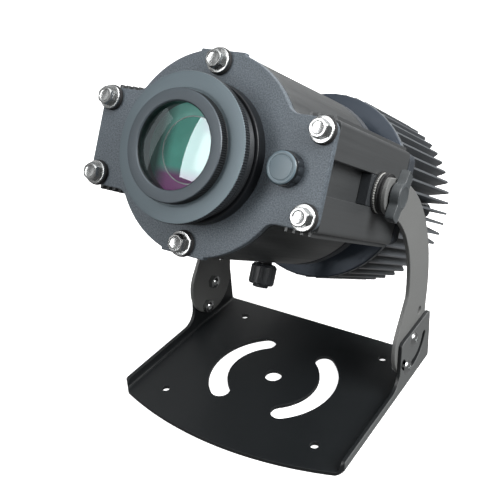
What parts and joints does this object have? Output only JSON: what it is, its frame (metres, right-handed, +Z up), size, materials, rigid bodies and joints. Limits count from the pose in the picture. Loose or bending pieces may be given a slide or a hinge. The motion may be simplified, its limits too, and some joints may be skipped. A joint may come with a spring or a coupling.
{
  "type": "gobo projector",
  "caption": "Sealed projector head with a focusing lens and a round finned heat sink, tilting in a leaning yoke on a flat base plate.",
  "frame": {"origin": "middle of the centre hole, on the underside of the base plate", "axes": "+Z up out of the base plate, -Y the way the lens faces, +X to the head's left as it looks forward"},
  "size_m": [0.1946, 0.3033, 0.2634],
  "materials": {
    "black_coated_steel": "semi-matt black powder coat",
    "arm_coat": "semi-matt black powder coat",
    "bright_steel": "bright stainless",
    "anodised_body": "dark grey anodised, fine drawn lines",
    "blue_grey_coat": "fine-grained powder coat",
    "heat_sink_finish": "grey anodised",
    "ring_anodise": "satin anodised, knurled",
    "retainer_anodise": "satin anodised, knurled",
    "tube_anodise": "black anodised",
    "black_rubber": "matt",
    "black_plastic": "moulded black nylon",
    "coated_glass": "coated optical glass",
    "gobo_metal": "etched sheet",
    "circuit_board": "green solder mask",
    "led_board_white": "white solder mask on aluminium",
    "led_phosphor": "yellow phosphor"
  },
  "bodies": {
    "base": {"base_plate": "black_coated_steel", "pivot_bolts": "bright_steel", "pivot_nuts": "bright_steel"},
    "arms": {"left_arm": "arm_coat", "right_arm": "arm_coat", "lock_bolts": "bright_steel", "lock_nuts": "bright_steel"},
    "head": {"body_extrusion": "anodised_body", "front_gasket": "black_rubber", "front_plate": "blue_grey_coat", "plate_bolts": "bright_steel", "plate_washers": "bright_steel", "plate_seals": "black_rubber", "vent_body": "black_plastic", "vent_cap": "black_plastic", "vent_nut": "black_plastic", "focus_collar": "blue_grey_coat", "rear_gasket": "black_rubber", "rear_plate": "anodised_body", "rear_bolts": "bright_steel", "rear_neck": "anodised_body", "heat_sink": "heat_sink_finish", "rear_cap": "black_plastic", "rear_cap_screws": "bright_steel", "gland_body": "black_plastic", "gland_nut": "black_plastic", "gland_seal": "black_rubber", "driver_board": "circuit_board", "led_board": "led_board_white", "led_emitter": "led_phosphor", "optic_carrier": "tube_anodise", "condenser_lenses": "coated_glass", "condenser_ring": "bright_steel", "gobo_holder": "tube_anodise", "gobo_disc": "gobo_metal", "gobo_spring_ring": "bright_steel", "slot_blocks": "black_plastic", "slot_nuts": "bright_steel", "rubber_washers": "black_rubber", "serrated_rings": "bright_steel", "clamp_spacers": "black_plastic", "hand_screw_bush": "black_plastic"},
    "lens_carriage": {"lens_tube": "tube_anodise", "retainer_ring": "retainer_anodise", "front_lens": "coated_glass", "rear_lens": "coated_glass", "rear_lens_ring": "tube_anodise"},
    "focus_ring": {"focus_ring": "ring_anodise"},
    "left_clamp": {"left_knob": "black_plastic", "left_stud": "bright_steel", "left_knob_washer": "black_plastic"},
    "right_clamp": {"right_knob": "black_plastic", "right_stud": "bright_steel", "right_knob_washer": "black_plastic"},
    "hand_screw": {"hand_screw_knob": "black_plastic", "hand_screw": "bright_steel"}
  },
  "joints": [
    {"name": "lean", "type": "hinge", "parent": "base", "child": "arms", "pos_m": [0, 0.0475, 0.0375], "axis": [1, 0, 0], "range_deg": [-5, 30]},
    {"name": "tilt", "type": "hinge", "parent": "arms", "child": "head", "pos_m": [0, 0.0102, 0.168], "axis": [1, 0, 0], "range_deg": [-4, 115]},
    {"name": "focus", "type": "slide", "parent": "head", "child": "lens_carriage", "axis": [0, -0.8725, 0.4886], "range_m": [-0.008, 0.005]},
    {"name": "focus_turn", "type": "hinge", "parent": "lens_carriage", "child": "focus_ring", "pos_m": [0, -0.07705, 0.21686], "axis": [0, -0.8725, 0.4886], "range_deg": [-245, 155]},
    {"name": "left_clamp_turn", "type": "hinge", "parent": "head", "child": "left_clamp", "pos_m": [-0.09, 0.0102, 0.168], "axis": [-1, 0, 0], "range_deg": [0, 270]},
    {"name": "right_clamp_turn", "type": "hinge", "parent": "head", "child": "right_clamp", "pos_m": [0.09, 0.0102, 0.168], "axis": [1, 0, 0], "range_deg": [0, 270]},
    {"name": "hand_screw_turn", "type": "hinge", "parent": "head", "child": "hand_screw", "pos_m": [0, -0.00481, 0.09618], "axis": [0, -0.4886, -0.8725], "range_deg": [0, 270]}
  ],
  "couplings": [
    {"joint": "focus_turn", "follows": "focus", "rad_per_m": 523.6}
  ]
}
